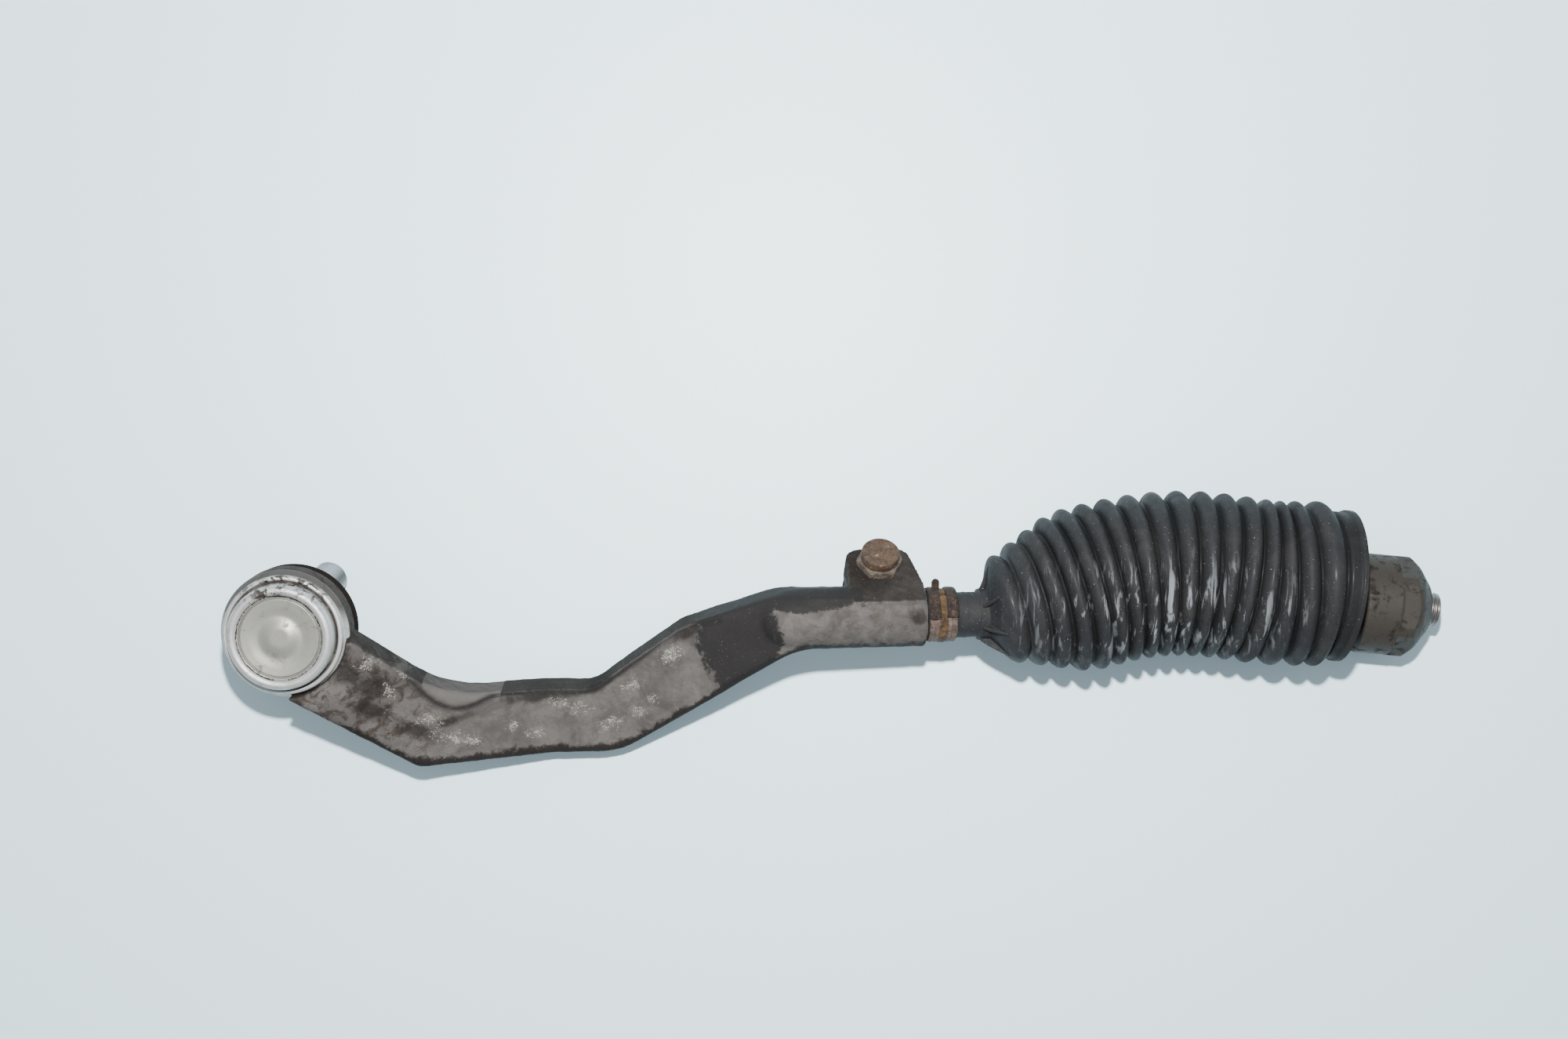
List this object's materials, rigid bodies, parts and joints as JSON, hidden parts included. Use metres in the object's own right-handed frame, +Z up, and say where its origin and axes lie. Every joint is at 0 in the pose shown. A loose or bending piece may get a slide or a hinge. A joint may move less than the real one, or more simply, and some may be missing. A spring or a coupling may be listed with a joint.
{
  "type": "tie rod",
  "caption": "Cranked steering tie rod: forged arm with a ball joint at one end, clamped to a rod whose inner ball joint lies in the mouth of a rubber bellows.",
  "frame": {"origin": "centre of the base of the bounding box, on the surface that the part lies on", "axes": "+X along the rod from the outer ball joint to the inner one, +Y to the side that the bellows bows to, +Z up"},
  "size_m": [0.4824, 0.1097, 0.0662],
  "materials": {
    "forged_steel": "bare forged steel with a dark oxide skin",
    "cap_steel": "satin zinc-grey",
    "bearing_plastic": "satin",
    "stud_steel": "bright polished",
    "boot_rubber": "matt with dust",
    "wire_steel": "dull",
    "rusty_bolt": "rusted",
    "rod_steel": "greasy",
    "housing_steel": "greasy brown-grey",
    "bellows_rubber": "satin with smears of grease",
    "rusty_clip": "rusted spring steel"
  },
  "bodies": {
    "arm": {"arm_forging": "forged_steel", "closure_cap": "cap_steel", "dust_boot": "boot_rubber", "dust_boot_clamp_ring": "wire_steel", "pinch_bolt": "rusty_bolt", "tie_rod_shaft": "rod_steel", "bellows": "bellows_rubber", "bellows_clip": "rusty_clip"},
    "outer_race": {"outer_bearing_shell": "bearing_plastic"},
    "boot_lip": {"dust_boot_lip_ring": "wire_steel"},
    "stud": {"ball_stud": "stud_steel"},
    "inner_race": {"inner_bearing_shell": "bearing_plastic"},
    "inner_pad": {"inner_pressure_pad": "bearing_plastic"},
    "inner_housing": {"inner_joint_housing": "housing_steel"}
  },
  "joints": [
    {"name": "stud_azimuth", "type": "hinge", "parent": "arm", "child": "outer_race", "pos_m": [-0.21556, 0.00016, 0.041], "axis": [0, -0.1392, 0.9903], "continuous": true, "deforming": ["dust_boot"]},
    {"name": "stud_tilt", "type": "hinge", "parent": "outer_race", "child": "boot_lip", "pos_m": [-0.21556, 0.00016, 0.041], "axis": [0.8643, -0.4981, -0.07], "range_deg": [-46, 0], "deforming": ["dust_boot"]},
    {"name": "stud_spin", "type": "hinge", "parent": "boot_lip", "child": "stud", "pos_m": [-0.21556, 0.00016, 0.041], "axis": [0.1965, 0.4625, -0.8645], "continuous": true},
    {"name": "housing_azimuth", "type": "hinge", "parent": "arm", "child": "inner_race", "pos_m": [0.21834, 0.00936, 0.0201], "axis": [0.9943, 0.0191, -0.1045], "continuous": true},
    {"name": "housing_swing", "type": "hinge", "parent": "inner_race", "child": "inner_pad", "pos_m": [0.21834, 0.00936, 0.0201], "axis": [-0.064, -0.6774, -0.7328], "range_deg": [-33.8, 16.2]},
    {"name": "housing_spin", "type": "hinge", "parent": "inner_pad", "child": "inner_housing", "pos_m": [0.21834, 0.00936, 0.0201], "axis": [0.9956, -0.0941, 0], "continuous": true}
  ]
}
